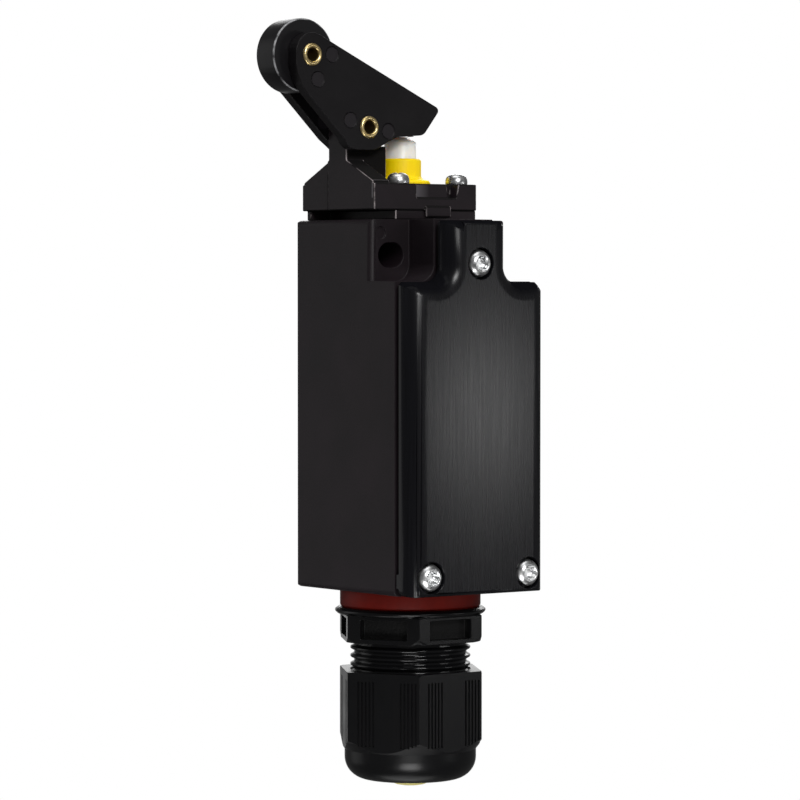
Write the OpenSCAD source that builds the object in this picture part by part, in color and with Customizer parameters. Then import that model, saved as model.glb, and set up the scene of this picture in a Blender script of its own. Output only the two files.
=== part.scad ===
// Roller lever limit switch with a plastic body, a roller lever head and a cable gland.
// Millimetres. +Z up, the cover faces -Y, the back face is Y = 0, Z = 0 is the mounting axis.

/* [Body] */
// Width of the body
body_w = 30; // [29:0.5:40]
// Height of the body
body_h = 65.7; // [62:0.1:90]
// Depth of the housing, from the back face to the cover joint
body_d = 30; // [29.5:0.1:36]
// Height of the body top above the mounting axis
body_top = 6.3; // [6:0.1:8]
// Wall of the housing
wall = 2.2; // [1.6:0.1:3]
// Round of the outer edges of the housing
body_edge = 1; // [0.4:0.1:1.6]
// Thickness of the bottom wall, which takes the gland
floor_t = 6; // [5:0.1:8]

/* [Mounting] */
// Pitch of the two mounting slots
mount_pitch = 21; // [20:0.5:22]
// Width of a mounting slot
mount_d = 4.4; // [4.2:0.1:4.8]
// Straight run of a mounting slot along X
slot_run = 1; // [0.6:0.1:1.6]
// Distance from the back face to the floor of the ears
ear_d = 22.8; // [22.6:0.1:26]
// Height of the ear recess below the mounting axis
ear_low = 4.6; // [4.2:0.1:6]
// Width of the neck between the ears
neck_w = 13; // [12.4:0.1:13.8]
// Fillet at the foot of the neck
neck_fillet = 3; // [1.5:0.1:3.4]

/* [Cover] */
// Thickness of the cover
cover_t = 4; // [3.4:0.1:5]
// Round of the cover edges
cover_round = 3.3; // [2:0.1:3.4]
// Gap between housing and cover, filled by the gasket
seam_gap = 1.1; // [0.6:0.1:1.4]
// Set back of the cover gasket from the outside
gasket_inset = 0.8; // [0.4:0.1:1]
// Diameter of a cover screw head
cover_screw_head = 4.8; // [4.2:0.1:5]
// Height of a cover screw head above the cover face
cover_screw_rise = 0.5; // [0:0.1:0.8]
// Diameter of the cover counterbores
cover_bore_d = 5.5; // [5.3:0.1:6]

/* [Head] */
// Reach of the head block to the left of the plunger axis
head_left = 13.85; // [13.4:0.05:15]
// Reach of the head block to the right of the plunger axis
head_right = 8.7; // [8.2:0.05:10]
// Size of the head block along Y
head_d = 22.3; // [21.6:0.1:22.6]
// Thickness of the head block
head_t = 4.65; // [4.3:0.05:6]
// Thickness of the head base plate
base_t = 1.7; // [1.2:0.1:2.4]
// Thickness of the pivot tower along Y
tower_t = 5.4; // [4.6:0.1:5.4]
// Height of the gussets up the tower
gusset_h = 4.2; // [2:0.1:4.6]

/* [Lever] */
// Distance from the pivot to the plunger axis
pivot_reach = 10.7; // [10.3:0.1:10.8]
// Height of the pivot above the head block
pivot_h = 9.95; // [9.8:0.05:12]
// Distance from the pivot to the roller axle
arm = 17.4; // [16.5:0.1:20]
// Gap between the lever cheeks
cheek_gap = 5.8; // [5.8:0.1:6.6]
// Thickness of a lever cheek
cheek_t = 2.35; // [1.8:0.05:3]
// Diameter of the rivet shanks
rivet_d = 3; // [2.6:0.1:3.2]
// Diameter of the rivet heads
rivet_head = 4; // [3.8:0.1:4.4]
// Diameter of the roller
roller_d = 13; // [10:0.1:14]
// Width of the roller
roller_w = 5.4; // [4:0.1:5.4]

/* [Plunger] */
// Diameter of the plunger
plunger_d = 5.7; // [4.6:0.1:5.7]
// Diameter of the guide collar
collar_d = 7.5; // [7.3:0.1:8.2]
// Height of the guide collar above the head block
collar_h = 4.7; // [3.4:0.1:4.7]
// Diameter of the collar flange
flange_d = 10.8; // [9:0.1:11]

/* [Gland] */
// Hexagon of the gland across its flats
gland_flats = 24; // [24:0.5:27]
// Diameter of the gland thread in the body
gland_thread = 20; // [19:0.5:20]
// Diameter of the red gasket
gland_gasket_d = 25.2; // [23:0.1:26.5]
// Thickness of the red gasket
gland_gasket_t = 3.3; // [1.5:0.1:3.5]
// Diameter of the rim above the gland hexagon
gland_rim_d = 27; // [26.5:0.1:29]
// Distance of the gland axis from the back face
gland_y = 14.4; // [14.2:0.1:15.2]
// Height of the gland nut
nut_h = 19.7; // [18:0.1:24]
// Diameter of the cable hole in the nut
cable_d = 13; // [11:0.5:13.5]

/* [Fits] */
// Radial running clearance of turning and sliding pieces
run_fit = 0.06; // [0.02:0.01:0.1]
// Clearance of pieces that sit still in a hole
still_fit = 0.03; // [0:0.01:0.1]
// Gap between pieces that meet when the switch works
touch_gap = 0.06; // [0.04:0.01:0.12]

/* [Hidden] */
$fn = 48;
e = 0.01;
hx = body_w / 2;
z_bot = body_top - body_h;
y_front = -body_d;
y_cover = -body_d - seam_gap;
y_face = y_cover - cover_t;
neck_x = neck_w / 2;
cav_top = -ear_low - wall;
screw_r = 1.25;
screw_clear = 1.6;
cover_holes = [[0, -1.5], [-10.7, z_bot + 3.4], [10.7, z_bot + 3.4]];
// Head
head_y = -11.35;
z_base = body_top;
z_block = z_base + base_t;
z_head = z_block + head_t;
base_left = 9.05;
base_in = 0.25;
groove_x = 3.55;
screw_x = 6.45;
screw_y = 8.15;
// Lever
piv_x = -pivot_reach;
piv_z = z_head + pivot_h;
ax_x = -arm * sin(44.77);
ax_z = arm * cos(44.77);
lever_w = cheek_gap + 2 * cheek_t;
nose_r = 1.3;
rivet_bore = rivet_d / 2 - 0.35;
roller_edge = 0.4;
// Plunger
tip_z = piv_z - nose_r - touch_gap;
collar_low = z_block + 2.3;
bore_r = 4.2;
rod_r = 1.5;
rod_low = cav_top + 1.3;
spring_low = cav_top - 1.2;
spring_top = collar_low - 1.1;
// Contact block
cb_top = spring_low;
cb_bot = cb_top - 26;
cb_x = 11;
cb_back = -wall - 0.1;
cb_front = head_y - 8.7;
slide_x = 3;
nc_z = cb_top - 8;
no_z = cb_top - 15;
strip_t = 0.8;
travel = 3.6;
nc_q = nc_z + 0.95;
no_q = no_z - travel - 0.3 - strip_t;
nc_t = nc_q + 3.25;
no_t = no_q - 2.45;
// Gland
g_top = z_bot;
g_gasket = g_top - gland_gasket_t;
g_rim = g_gasket - 1.2;
g_hex = g_rim - 4.8;
g_nut = g_hex - 5.2;
g_bot = g_nut - nut_h;
hex_r = gland_flats / 2 / cos(30);
cap_r = gland_flats / 2 - 1.22;
seal_r = 8;
cable_r = 7;
dome_r = 4;

// Box between two corners
module box(a, b) { translate(a) cube(b - a); }
// Cylinder along Y from y1 to y2 at x, z
module ycyl(x, z, y1, y2, r) {
  translate([x, max(y1, y2), z]) rotate([90, 0, 0]) cylinder(r = r, h = abs(y2 - y1));
}
// Cylinder along X
module xcyl(y, z, x1, x2, r) { translate([x1, y, z]) rotate([0, 90, 0]) cylinder(r = r, h = x2 - x1); }
// Cylinder along Z
module zcyl(x, y, z1, z2, r) { translate([x, y, z1]) cylinder(r = r, h = z2 - z1); }
// Edge cutters, which leave a round of radius r at the corner (p, q); sp, sq point inwards
module xedge(y, z, sy, sz, x1, x2, r) {
  difference() {
    translate([x1, sy > 0 ? y - 1 : y - r, sz > 0 ? z - 1 : z - r]) cube([x2 - x1, r + 1, r + 1]);
    xcyl(y + sy * r, z + sz * r, x1 - 1, x2 + 1, r);
  }
}
module yedge(x, z, sx, sz, y1, y2, r) {
  difference() {
    translate([sx > 0 ? x - 1 : x - r, y1, sz > 0 ? z - 1 : z - r]) cube([r + 1, y2 - y1, r + 1]);
    ycyl(x + sx * r, z + sz * r, y1 - 1, y2 + 1, r);
  }
}
module zedge(x, y, sx, sy, z1, z2, r) {
  difference() {
    translate([sx > 0 ? x - 1 : x - r, sy > 0 ? y - 1 : y - r, z1]) cube([r + 1, r + 1, z2 - z1]);
    zcyl(x + sx * r, y + sy * r, z1 - 1, z2 + 1, r);
  }
}
// Slot along X through Y
module slot(x, y1, y2, r, run) {
  ycyl(x - run / 2, 0, y1, y2, r);
  ycyl(x + run / 2, 0, y1, y2, r);
  box([x - run / 2, min(y1, y2), -r], [x + run / 2, max(y1, y2), r]);
}
// Coil spring along Z
module coil(r, w, z1, z2, turns, steps = 18, sides = 8) {
  n = turns * steps;
  h = z2 - z1 - 2 * w;
  pts = [for (i = [0 : n]) for (j = [0 : sides - 1])
    let (a = 360 * i / steps, b = 360 * j / sides, q = r + w * cos(b))
    [q * cos(a), q * sin(a), z1 + w + h * i / n + w * sin(b)]];
  sidef = [for (i = [0 : n - 1]) for (j = [0 : sides - 1])
    let (k = (j + 1) % sides, p = i * sides)
    each [[p + j, p + sides + j, p + k], [p + k, p + sides + j, p + sides + k]]];
  caps = [for (j = [1 : sides - 2]) [0, j, j + 1]];
  cape = [for (j = [1 : sides - 2]) [n * sides, n * sides + j + 1, n * sides + j]];
  polyhedron(points = pts, faces = concat(sidef, caps, cape));
}
// Points of an arc in a plane
function arc(cx, cy, r, a1, a2, n) =
  [for (i = [0 : n]) let (a = a1 + (a2 - a1) * i / n) [cx + r * cos(a), cy + r * sin(a)]];

// Housing: the box with ears, neck, cavity and holes
module housing() color("#232226") difference() {
  box([-hx, y_front, z_bot], [hx, 0, body_top]);
  // Rounded outer edges
  for (s = [-1, 1]) {
    zedge(s * hx, 0, -s, -1, z_bot - 1, body_top + 1, body_edge);
    yedge(s * hx, body_top, -s, -1, y_front - 1, 1, body_edge);
    yedge(s * hx, z_bot, -s, 1, y_front - 1, 1, body_edge);
  }
  xedge(0, body_top, -1, -1, -hx - 1, hx + 1, body_edge);
  xedge(0, z_bot, -1, 1, -hx - 1, hx + 1, body_edge);
  // Ear recesses with a fillet at the foot of the neck
  for (s = [-1, 1]) {
    difference() {
      box([s > 0 ? neck_x : -hx - 1, y_front - 1, -ear_low],
        [s > 0 ? hx + 1 : -neck_x, -ear_d, body_top + 1]);
      difference() {
        box([s > 0 ? neck_x - 1 : -neck_x - neck_fillet, y_front - 2, -ear_low - 1],
          [s > 0 ? neck_x + neck_fillet : -neck_x + 1, 0, -ear_low + neck_fillet]);
        ycyl(s * (neck_x + neck_fillet), -ear_low + neck_fillet, y_front - 3, 1, neck_fillet);
      }
    }
    slot(s * mount_pitch / 2, -ear_d - 1, 1, mount_d / 2, slot_run);
    zedge(s * hx, -ear_d, -s, 1, -ear_low, body_top + 1, 1);
    // Ejector mark on the ear floor
    ycyl(s * 12.7, 3.9, -ear_d - 0.1, -ear_d + 0.25, 1.1);
  }
  // Main cavity, open to the front
  box([-hx + wall, y_front - 1, z_bot + floor_t], [hx - wall, -wall, cav_top]);
  // Way of the plunger and its spring
  zcyl(0, head_y, cav_top - 1, body_top + 1, bore_r);
  // Gland hole
  zcyl(0, -gland_y, z_bot - 1, z_bot + floor_t + 1, gland_thread / 2);
  // Cover screw holes
  for (p = cover_holes) ycyl(p[0], p[1], y_front - 1, y_front + 7, screw_r);
  // Head screw holes
  for (s = [-1, 1], t = [-1, 1]) zcyl(s * screw_x, head_y + t * screw_y, body_top - 5, body_top + 1, screw_r);
}

// One straight run of the cover, rounded on its two long front edges
module cover_run(x, z1, z2) {
  box([-x, y_face + cover_round, z1], [x, y_cover, z2]);
  box([-x + cover_round, y_face, z1], [x - cover_round, y_cover, z2]);
  for (s = [-1, 1]) difference() {
    zcyl(s * (x - cover_round), y_face + cover_round, z1, z2, cover_round);
    box([-x - 1, y_cover, z1 - 1], [x + 1, y_cover + 20, z2 + 1]);
  }
}
// What a ball takes off an upper corner of the cover, where the rounds meet; rim is the round left at the joint
module corner_ball(s, x, z, reach, rim) {
  diagonal = reach * sqrt(2) - rim * (sqrt(2) - 1);
  ball = (diagonal * diagonal + cover_t * cover_t) / (2 * cover_t);
  difference() {
    box([s > 0 ? x - reach : -x - 1, y_face - 1, z - reach],
      [s > 0 ? x + 1 : -x + reach, y_cover + 1, z + 1]);
    translate([s * (x - reach), y_face + ball - 0.03, z - reach]) sphere(r = ball);
  }
}
module cover() color("#1b1b1f") {
  zs = -ear_low - 0.1;
  zt = body_top - 0.3;
  cx = neck_x + neck_fillet;
  cz = zs + neck_fillet;
  difference() {
    union() {
      difference() {
        cover_run(hx, z_bot + 0.05, zs);
        xedge(y_face, zs, 1, -1, -hx - 1, hx + 1, cover_round);
        for (s = [-1, 1]) {
          corner_ball(s, hx, zs, cover_round, 0.9);
          yedge(s * hx, z_bot + 0.05, -s, 1, y_face - 1, y_cover + 1, 1.3);
        }
        xedge(y_face, z_bot + 0.05, 1, 1, -hx - 1, hx + 1, 0.8);
      }
      difference() {
        cover_run(neck_x, zs - cover_round, zt);
        xedge(y_face, zt, 1, -1, -hx, hx, 0.8);
        for (s = [-1, 1]) corner_ball(s, neck_x, zt, cover_round * 0.85, 0.6);
      }
      // Filled corners between neck and shoulders, rounded along a concave sweep
      difference() {
        box([-cx, y_face, zs - cover_round - 0.5], [cx, y_cover, cz]);
        for (s = [-1, 1]) ycyl(s * cx, cz, y_face - 1, y_cover + 1, neck_fillet + cover_round);
      }
      for (s = [-1, 1]) difference() {
        ycyl(s * cx, cz, y_face, y_cover, neck_fillet + cover_round + e);
        ycyl(s * cx, cz, y_face - 1, y_cover + 1, neck_fillet);
        translate([s * cx, y_face, cz]) rotate([-90, 0, 0]) difference() {
          translate([0, 0, -1]) cylinder(r = neck_fillet + cover_round, h = cover_round + 1);
          rotate_extrude() translate([neck_fillet + cover_round, cover_round]) circle(r = cover_round);
          translate([0, 0, cover_round]) cylinder(r = neck_fillet + 2 * cover_round, h = cover_round);
        }
        // Only the quarter that faces the neck and the shoulder stays
        box([s > 0 ? cx : -cx - 20, y_face - 2, cz - 20], [s > 0 ? cx + 20 : -cx, y_cover + 2, cz + 20]);
        box([s * cx - 20, y_face - 2, cz], [s * cx + 20, y_cover + 2, cz + 20]);
      }
      // Lip that closes the joint at the foot of the cover
      for (s = [-1, 1]) box([s > 0 ? hx - gasket_inset + 0.15 : -hx, y_cover - 0.2, z_bot + 1.4],
        [s > 0 ? hx : -hx + gasket_inset - 0.15, y_cover + seam_gap * 0.6, z_bot + 4]);
    }
    // Hollow behind the face
    box([-hx + 3, y_cover - cover_t + 1.8, z_bot + 8], [hx - 3, y_cover + 1, zs - cover_round - 1]);
    // Screw holes and counterbores
    for (p = cover_holes) {
      ycyl(p[0], p[1], y_face - 1, y_cover + 1, screw_clear);
      ycyl(p[0], p[1], y_face - 1, y_face - cover_screw_rise + 1.9, cover_bore_d / 2);
    }
  }
}
module cover_gasket() color("#4a4433") difference() {
  union() {
    box([-hx + gasket_inset, y_cover, z_bot + gasket_inset],
      [hx - gasket_inset, y_front, -ear_low - gasket_inset]);
    box([-neck_x + gasket_inset, y_cover, -ear_low - 2],
      [neck_x - gasket_inset, y_front, body_top - 0.3 - gasket_inset]);
  }
  box([-hx + wall + 0.4, y_cover - 1, z_bot + floor_t], [hx - wall - 0.4, y_front + 1, cav_top - 0.4]);
  for (p = cover_holes) ycyl(p[0], p[1], y_cover - 1, y_front + 1, screw_clear);
}
// Cover screw with a six-lobed socket
module cover_screws() color("#c9ccd0") for (p = cover_holes) {
  ys = y_face - cover_screw_rise;
  translate([p[0], ys, p[1]]) rotate([-90, 0, 0]) difference() {
    union() {
      rotate_extrude() polygon([[0, 0], [1.5, 0], [1.62, 0.06], [1.95, 0.3], [cover_screw_head / 2 - 0.2, 0.62],
        [cover_screw_head / 2 - 0.05, 0.95], [cover_screw_head / 2, 1.3], [cover_screw_head / 2, 1.9], [0, 1.9]]);
      cylinder(r = screw_r, h = seam_gap + cover_t + 5.5);
    }
    translate([0, 0, -0.1]) cylinder(r1 = 1.48, r2 = 1.15, h = 0.4, $fn = 32);
    translate([0, 0, -1]) cylinder(r = 0.95, h = 2.1, $fn = 24);
    for (a = [0 : 60 : 300]) rotate([0, 0, a]) translate([1.05, 0, -1]) cylinder(r = 0.28, h = 2.1, $fn = 16);
  }
}

// Plate under the head block
module head_base() color("#262428") difference() {
  box([-base_left, head_y - head_d / 2 + base_in, z_base],
    [head_right, head_y + head_d / 2 - base_in, z_block]);
  zcyl(0, head_y, z_base - 1, z_block + 1, bore_r);
  for (s = [-1, 1], t = [-1, 1]) zcyl(s * screw_x, head_y + t * screw_y, z_base - 1, z_block + 1, screw_clear);
}
// Head block with the pivot tower and its gussets
module head_block() color("#252327") difference() {
  union() {
    box([-head_left, head_y - head_d / 2, z_block], [head_right, head_y + head_d / 2, z_head]);
    // Latch that hooks over the base plate
    box([-2.75, head_y - head_d / 2 - 0.35, z_base + 0.5],
      [2.75, head_y - head_d / 2 + e, z_block + 0.6]);
    // Skirt behind the overhang
    box([-head_left + 0.3, head_y + head_d / 2 - 2.6, z_base],
      [-base_left - 0.2, head_y + head_d / 2 - 1.4, z_block + e]);
    // Tower
    box([-head_left, head_y - tower_t / 2, z_head - e],
      [piv_x + 5.6, head_y + tower_t / 2, piv_z - 3.2]);
    box([-head_left, head_y - tower_t / 2, z_head - e],
      [piv_x + head_left - pivot_reach, head_y + tower_t / 2, piv_z]);
    ycyl(piv_x, piv_z, head_y - tower_t / 2, head_y + tower_t / 2, head_left - pivot_reach);
    // Gussets
    for (s = [-1, 1]) translate([-head_left, head_y, 0]) rotate([90, 0, 90])
      linear_extrude(height = 3.7) polygon([[s * (tower_t / 2 - e), z_head - e], [s * (head_d / 2 - 0.5), z_head - e],
        [s * (head_d / 2 - 0.5), z_head + 0.4], [s * (tower_t / 2 - e), z_head + gusset_h]]);
  }
  // Shallow step on the rear of the left face
  box([-head_left - 1, head_y + tower_t / 2 + 0.3, z_block - 2],
    [-head_left + 0.25, head_y + head_d, z_head + gusset_h]);
  // Panel a little below the face
  box([-4.6, head_y - head_d / 2 - 1, z_block + 2.1], [groove_x, head_y - head_d / 2 + 0.6, z_head + 1]);
  // V groove at the right end of the panel
  translate([groove_x, head_y - head_d / 2 + 2.2, 0]) rotate([90, 0, 0]) linear_extrude(height = 3.5)
    polygon([[-0.65, z_block + 2.1], [0.65, z_block + 2.1], [1.3, z_head + 1], [-1.3, z_head + 1]]);
  // Room for the flange of the collar in the foot of the tower
  zcyl(0, head_y, z_head, z_head + 1.8, flange_d / 2 + 0.25);
  // Collar and plunger bore
  zcyl(0, head_y, z_block - 1, collar_low + e, bore_r);
  zcyl(0, head_y, collar_low - 0.5, z_head + 1, collar_d / 2 + still_fit);
  // Screw holes
  for (s = [-1, 1], t = [-1, 1]) zcyl(s * screw_x, head_y + t * screw_y, z_block - 1, z_head + 1, screw_clear);
  // Pivot bore
  ycyl(piv_x, piv_z, head_y - 5, head_y + 5, rivet_d / 2 + run_fit);
}
// Head screws with a cross recess
module head_screws() color("#b9bdc2") for (s = [-1, 1], t = [-1, 1])
translate([s * screw_x, head_y + t * screw_y, z_head]) difference() {
  union() {
    rotate_extrude() polygon([[0, 0], [1.95, 0], [2, 0.4], [1.95, 0.9], [1.75, 1.4], [1.35, 1.75],
      [0.8, 1.93], [0, 1.98]]);
    translate([0, 0, -base_t - head_t - 4]) cylinder(r = screw_r, h = base_t + head_t + 4.1);
  }
  for (a = [45, 135]) rotate([0, 0, a]) box([-1.2, -0.25, 1], [1.2, 0.25, 3]);
}
// Yellow guide collar of the plunger
module guide_collar() color("#f2d80a") translate([0, head_y, 0]) difference() {
  ri = plunger_d / 2 + run_fit;
  ro = collar_d / 2;
  rf = flange_d / 2;
  zc = z_head + collar_h;
  rotate_extrude() polygon([[ri, collar_low], [ro, collar_low], [ro, z_head], [rf, z_head], [rf, z_head + 0.55],
    [rf - 0.3, z_head + 0.85], [ro + 0.5, z_head + 1], [ro, z_head + 1.5], [ro, zc - 0.3], [ro - 0.3, zc],
    [ri + 0.2, zc], [ri, zc - 0.2]]);
  // Groove of the seal ring
  difference() {
    zcyl(0, 0, z_head + 1.2, z_head + 2.2, plunger_d / 2 + 0.5);
    zcyl(0, 0, z_head + 1, z_head + 3, ri - e);
  }
}
module plunger_seal() color("#26262a") translate([0, head_y, 0]) rotate_extrude()
  polygon([[plunger_d / 2 + run_fit, z_head + 1.2], [plunger_d / 2 + 0.5, z_head + 1.2],
    [plunger_d / 2 + 0.5, z_head + 2.2], [plunger_d / 2 + run_fit, z_head + 2.2]]);
// White plunger
module plunger() color("#ece8e0") translate([0, head_y, 0]) rotate_extrude() polygon([[0, rod_low], [rod_r, rod_low],
  [rod_r, spring_top], [3.5, spring_top], [3.5, collar_low - 0.1], [plunger_d / 2, collar_low - 0.1],
  [plunger_d / 2, tip_z - 1], [plunger_d / 2 - 0.15, tip_z - 0.78], [1.6, tip_z - 0.12], [1.2, tip_z], [0, tip_z]]);
module plunger_spring() color("#b8b8b4") translate([0, head_y, 0]) coil(2.6, 0.3, spring_low, spring_top, 7);

// Outline of a lever cheek about the pivot; cut moves the left edge inwards
function cheek(cut) = concat(
  arc(ax_x + 0.15, ax_z + 0.32, 3.55, 64.6, 178, 10),
  [[ax_x - 3.42, ax_z - 1.7], [ax_x - 3.0 + cut * 0.3, ax_z - 3.5], [ax_x - 2.3 + cut * 0.8, ax_z - 5.1]],
  [[ax_x - 1.5 + cut, ax_z - 6.2], [-5.4 + cut, -2.0]],
  arc(-2.6 + cut * 1.47, -1.2, 2.85, 206 + cut * 10, 270, 5),
  arc(0.4, 0, 4.05, 272, 306, 4),
  [[6.1, -1.6]],
  arc(11.2, 0.55, 1.75, 275, 322, 4),
  arc(14.6, 3.29, 0.75, 322, 424.6, 5));
// Lever: two cheeks, the web at the tail and the nose that presses the plunger
module lever() color("#2a282b") translate([piv_x, head_y, piv_z]) difference() {
  union() {
    translate([0, -cheek_gap / 2, 0]) rotate([90, 0, 0]) linear_extrude(height = cheek_t) polygon(cheek(0));
    translate([0, lever_w / 2, 0]) rotate([90, 0, 0]) linear_extrude(height = cheek_t) polygon(cheek(1.9));
    // Web between the cheeks under the top edge of the tail
    translate([0, cheek_gap / 2 + e, 0]) rotate([90, 0, 0]) linear_extrude(height = cheek_gap + 2 * e)
      polygon([[4.6, 8.78], [14.75, 4.03], [15.15, 3.55], [13.7, 1.6], [4.6, 5.6]]);
    // Nose rib
    box([pivot_reach - nose_r, -cheek_gap / 2 - e, 0], [pivot_reach + nose_r, cheek_gap / 2 + e, 3.4]);
    ycyl(pivot_reach, 0, -cheek_gap / 2 - e, cheek_gap / 2 + e, nose_r);
  }
  // Rivet holes
  ycyl(0, 0, -10, 10, rivet_d / 2 + still_fit);
  ycyl(ax_x, ax_z, -10, 10, rivet_d / 2 + still_fit);
  // Ejector marks on the front cheek
  for (p = [[ax_x + 4.3, ax_z + 0.15], [ax_x + 1.25, ax_z - 4.25], [-4.0, 1.15], [4.25, -0.6]])
    ycyl(p[0], p[1], -lever_w / 2 - 1, -lever_w / 2 + 0.12, 1.35);
}
module roller() color("#3a393c") translate([piv_x + ax_x, head_y, piv_z + ax_z]) rotate([90, 0, 0]) difference() {
  union() {
    zcyl(0, 0, -roller_w / 2, roller_w / 2, roller_d / 2 - roller_edge);
    zcyl(0, 0, -roller_w / 2 + roller_edge, roller_w / 2 - roller_edge, roller_d / 2);
    for (s = [-1, 1]) translate([0, 0, s * (roller_w / 2 - roller_edge)]) rotate_extrude()
      translate([roller_d / 2 - roller_edge, 0]) circle(r = roller_edge);
  }
  zcyl(0, 0, -roller_w, roller_w, rivet_d / 2 + run_fit);
}
// Tubular rivet along Y, rolled over the cheeks at both ends
module rivet(x, z) translate([x, head_y, z]) rotate([90, 0, 0]) {
  difference() {
    zcyl(0, 0, -lever_w / 2 - e, lever_w / 2 + e, rivet_d / 2);
    zcyl(0, 0, -lever_w, lever_w, rivet_bore);
  }
  for (s = [-1, 1]) intersection() {
    translate([0, 0, s * lever_w / 2]) rotate_extrude()
      translate([(rivet_head / 2 + rivet_bore) / 2, 0]) circle(r = (rivet_head / 2 - rivet_bore) / 2);
    translate([0, 0, s * (lever_w / 2 + 1)]) cube([rivet_head + 1, rivet_head + 1, 2], center = true);
  }
}
module roller_rivet() color("#c8a03c") rivet(piv_x + ax_x, piv_z + ax_z);
module pivot_rivet() color("#c8a03c") rivet(piv_x, piv_z);

// Contact block in the body
module contact_block() color("#8a8478") difference() {
  box([-cb_x, cb_front, cb_bot], [cb_x, cb_back, cb_top]);
  // Chamber of the slider and the bridges
  box([-8.4, cb_front - 1, cb_bot + 2], [8.4, head_y + 4.2, cb_top - 3]);
  // Way of the slider stem
  zcyl(0, head_y, cb_top - 4, cb_top + 1, 2 + run_fit);
  // Seats of the fixed contacts
  for (s = [-1, 1], q = [nc_q, no_q])
    box([s > 0 ? 6.4 : -cb_x - 1, cb_front - 1, q], [s > 0 ? cb_x + 1 : -6.4, head_y + 2, q + strip_t]);
  // Terminal screw holes
  for (s = [-1, 1], q = [nc_t, no_t]) ycyl(s * 9.7, q, cb_front - 1, cb_front + 5, 0.9);
}
// Slider with two windows for the bridges
module contact_slider() color("#d9d4c6") difference() {
  union() {
    zcyl(0, head_y, cb_top - 5, rod_low - touch_gap, 2);
    box([-slide_x, head_y - 3.4, no_z - 4.4], [slide_x, head_y + 3.4, cb_top - 3.4]);
  }
  for (q = [nc_z, no_z]) box([-slide_x - 1, head_y - 1.9, q - 2.6], [slide_x + 1, head_y + 1.9, q + 0.6]);
}
module contact_bridges() color("#c9a26a") for (q = [nc_z, no_z]) {
  box([-8, head_y - 1.8, q], [8, head_y + 1.8, q + 0.6]);
  for (s = [-1, 1]) zcyl(s * 7.2, head_y, q == nc_z ? q + 0.6 - e : q - 0.25, q == nc_z ? q + 0.85 : q + e, 0.75);
}
module contact_springs() color("#b8b8b4") for (q = [nc_z, no_z])
  translate([0, head_y, 0]) coil(1.1, 0.18, q - 2.6, q, 3, 14, 6);
// Fixed contact strip with its terminal tab; up points to the tab
module fixed(s, q, up) {
  box([s > 0 ? 6.4 : -cb_x, cb_front - strip_t, q], [s > 0 ? cb_x : -6.4, head_y + 2, q + strip_t]);
  difference() {
    box([s > 0 ? 8.5 : -cb_x, cb_front - strip_t, up > 0 ? q + strip_t - e : q - 5.6],
      [s > 0 ? cb_x : -8.5, cb_front, up > 0 ? q + 5.6 + strip_t : q + e]);
    ycyl(s * 9.7, up > 0 ? nc_t : no_t, cb_front - 2, cb_front + 1, 1);
  }
  zcyl(s * 7.2, head_y, up > 0 ? q - 0.02 : q + strip_t - e, up > 0 ? q + e : q + strip_t + 0.02, 0.75);
}
module closed_contacts() color("#c9a26a") for (s = [-1, 1]) fixed(s, nc_q, 1);
module open_contacts() color("#c9a26a") for (s = [-1, 1]) fixed(s, no_q, -1);
module terminal_clamps() color("#c4c7ca") for (s = [-1, 1], q = [nc_t, no_t]) difference() {
  box([s > 0 ? 7.4 : -11.9, cb_front - strip_t - 1, q - 2], [s > 0 ? 11.9 : -7.4, cb_front - strip_t, q + 2]);
  ycyl(s * 9.7, q, cb_front - 5, cb_front + 1, 1);
}
module terminal_screws() color("#b9bdc2") for (s = [-1, 1], q = [nc_t, no_t]) difference() {
  union() {
    ycyl(s * 9.7, q, cb_front - strip_t - 2.8, cb_front - strip_t - 1, 2.1);
    ycyl(s * 9.7, q, cb_front - strip_t - 1.5, cb_front + 4, 0.9);
  }
  box([s * 9.7 - 3, cb_front - strip_t - 4, q - 0.3], [s * 9.7 + 3, cb_front - strip_t - 2.1, q + 0.3]);
}

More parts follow.
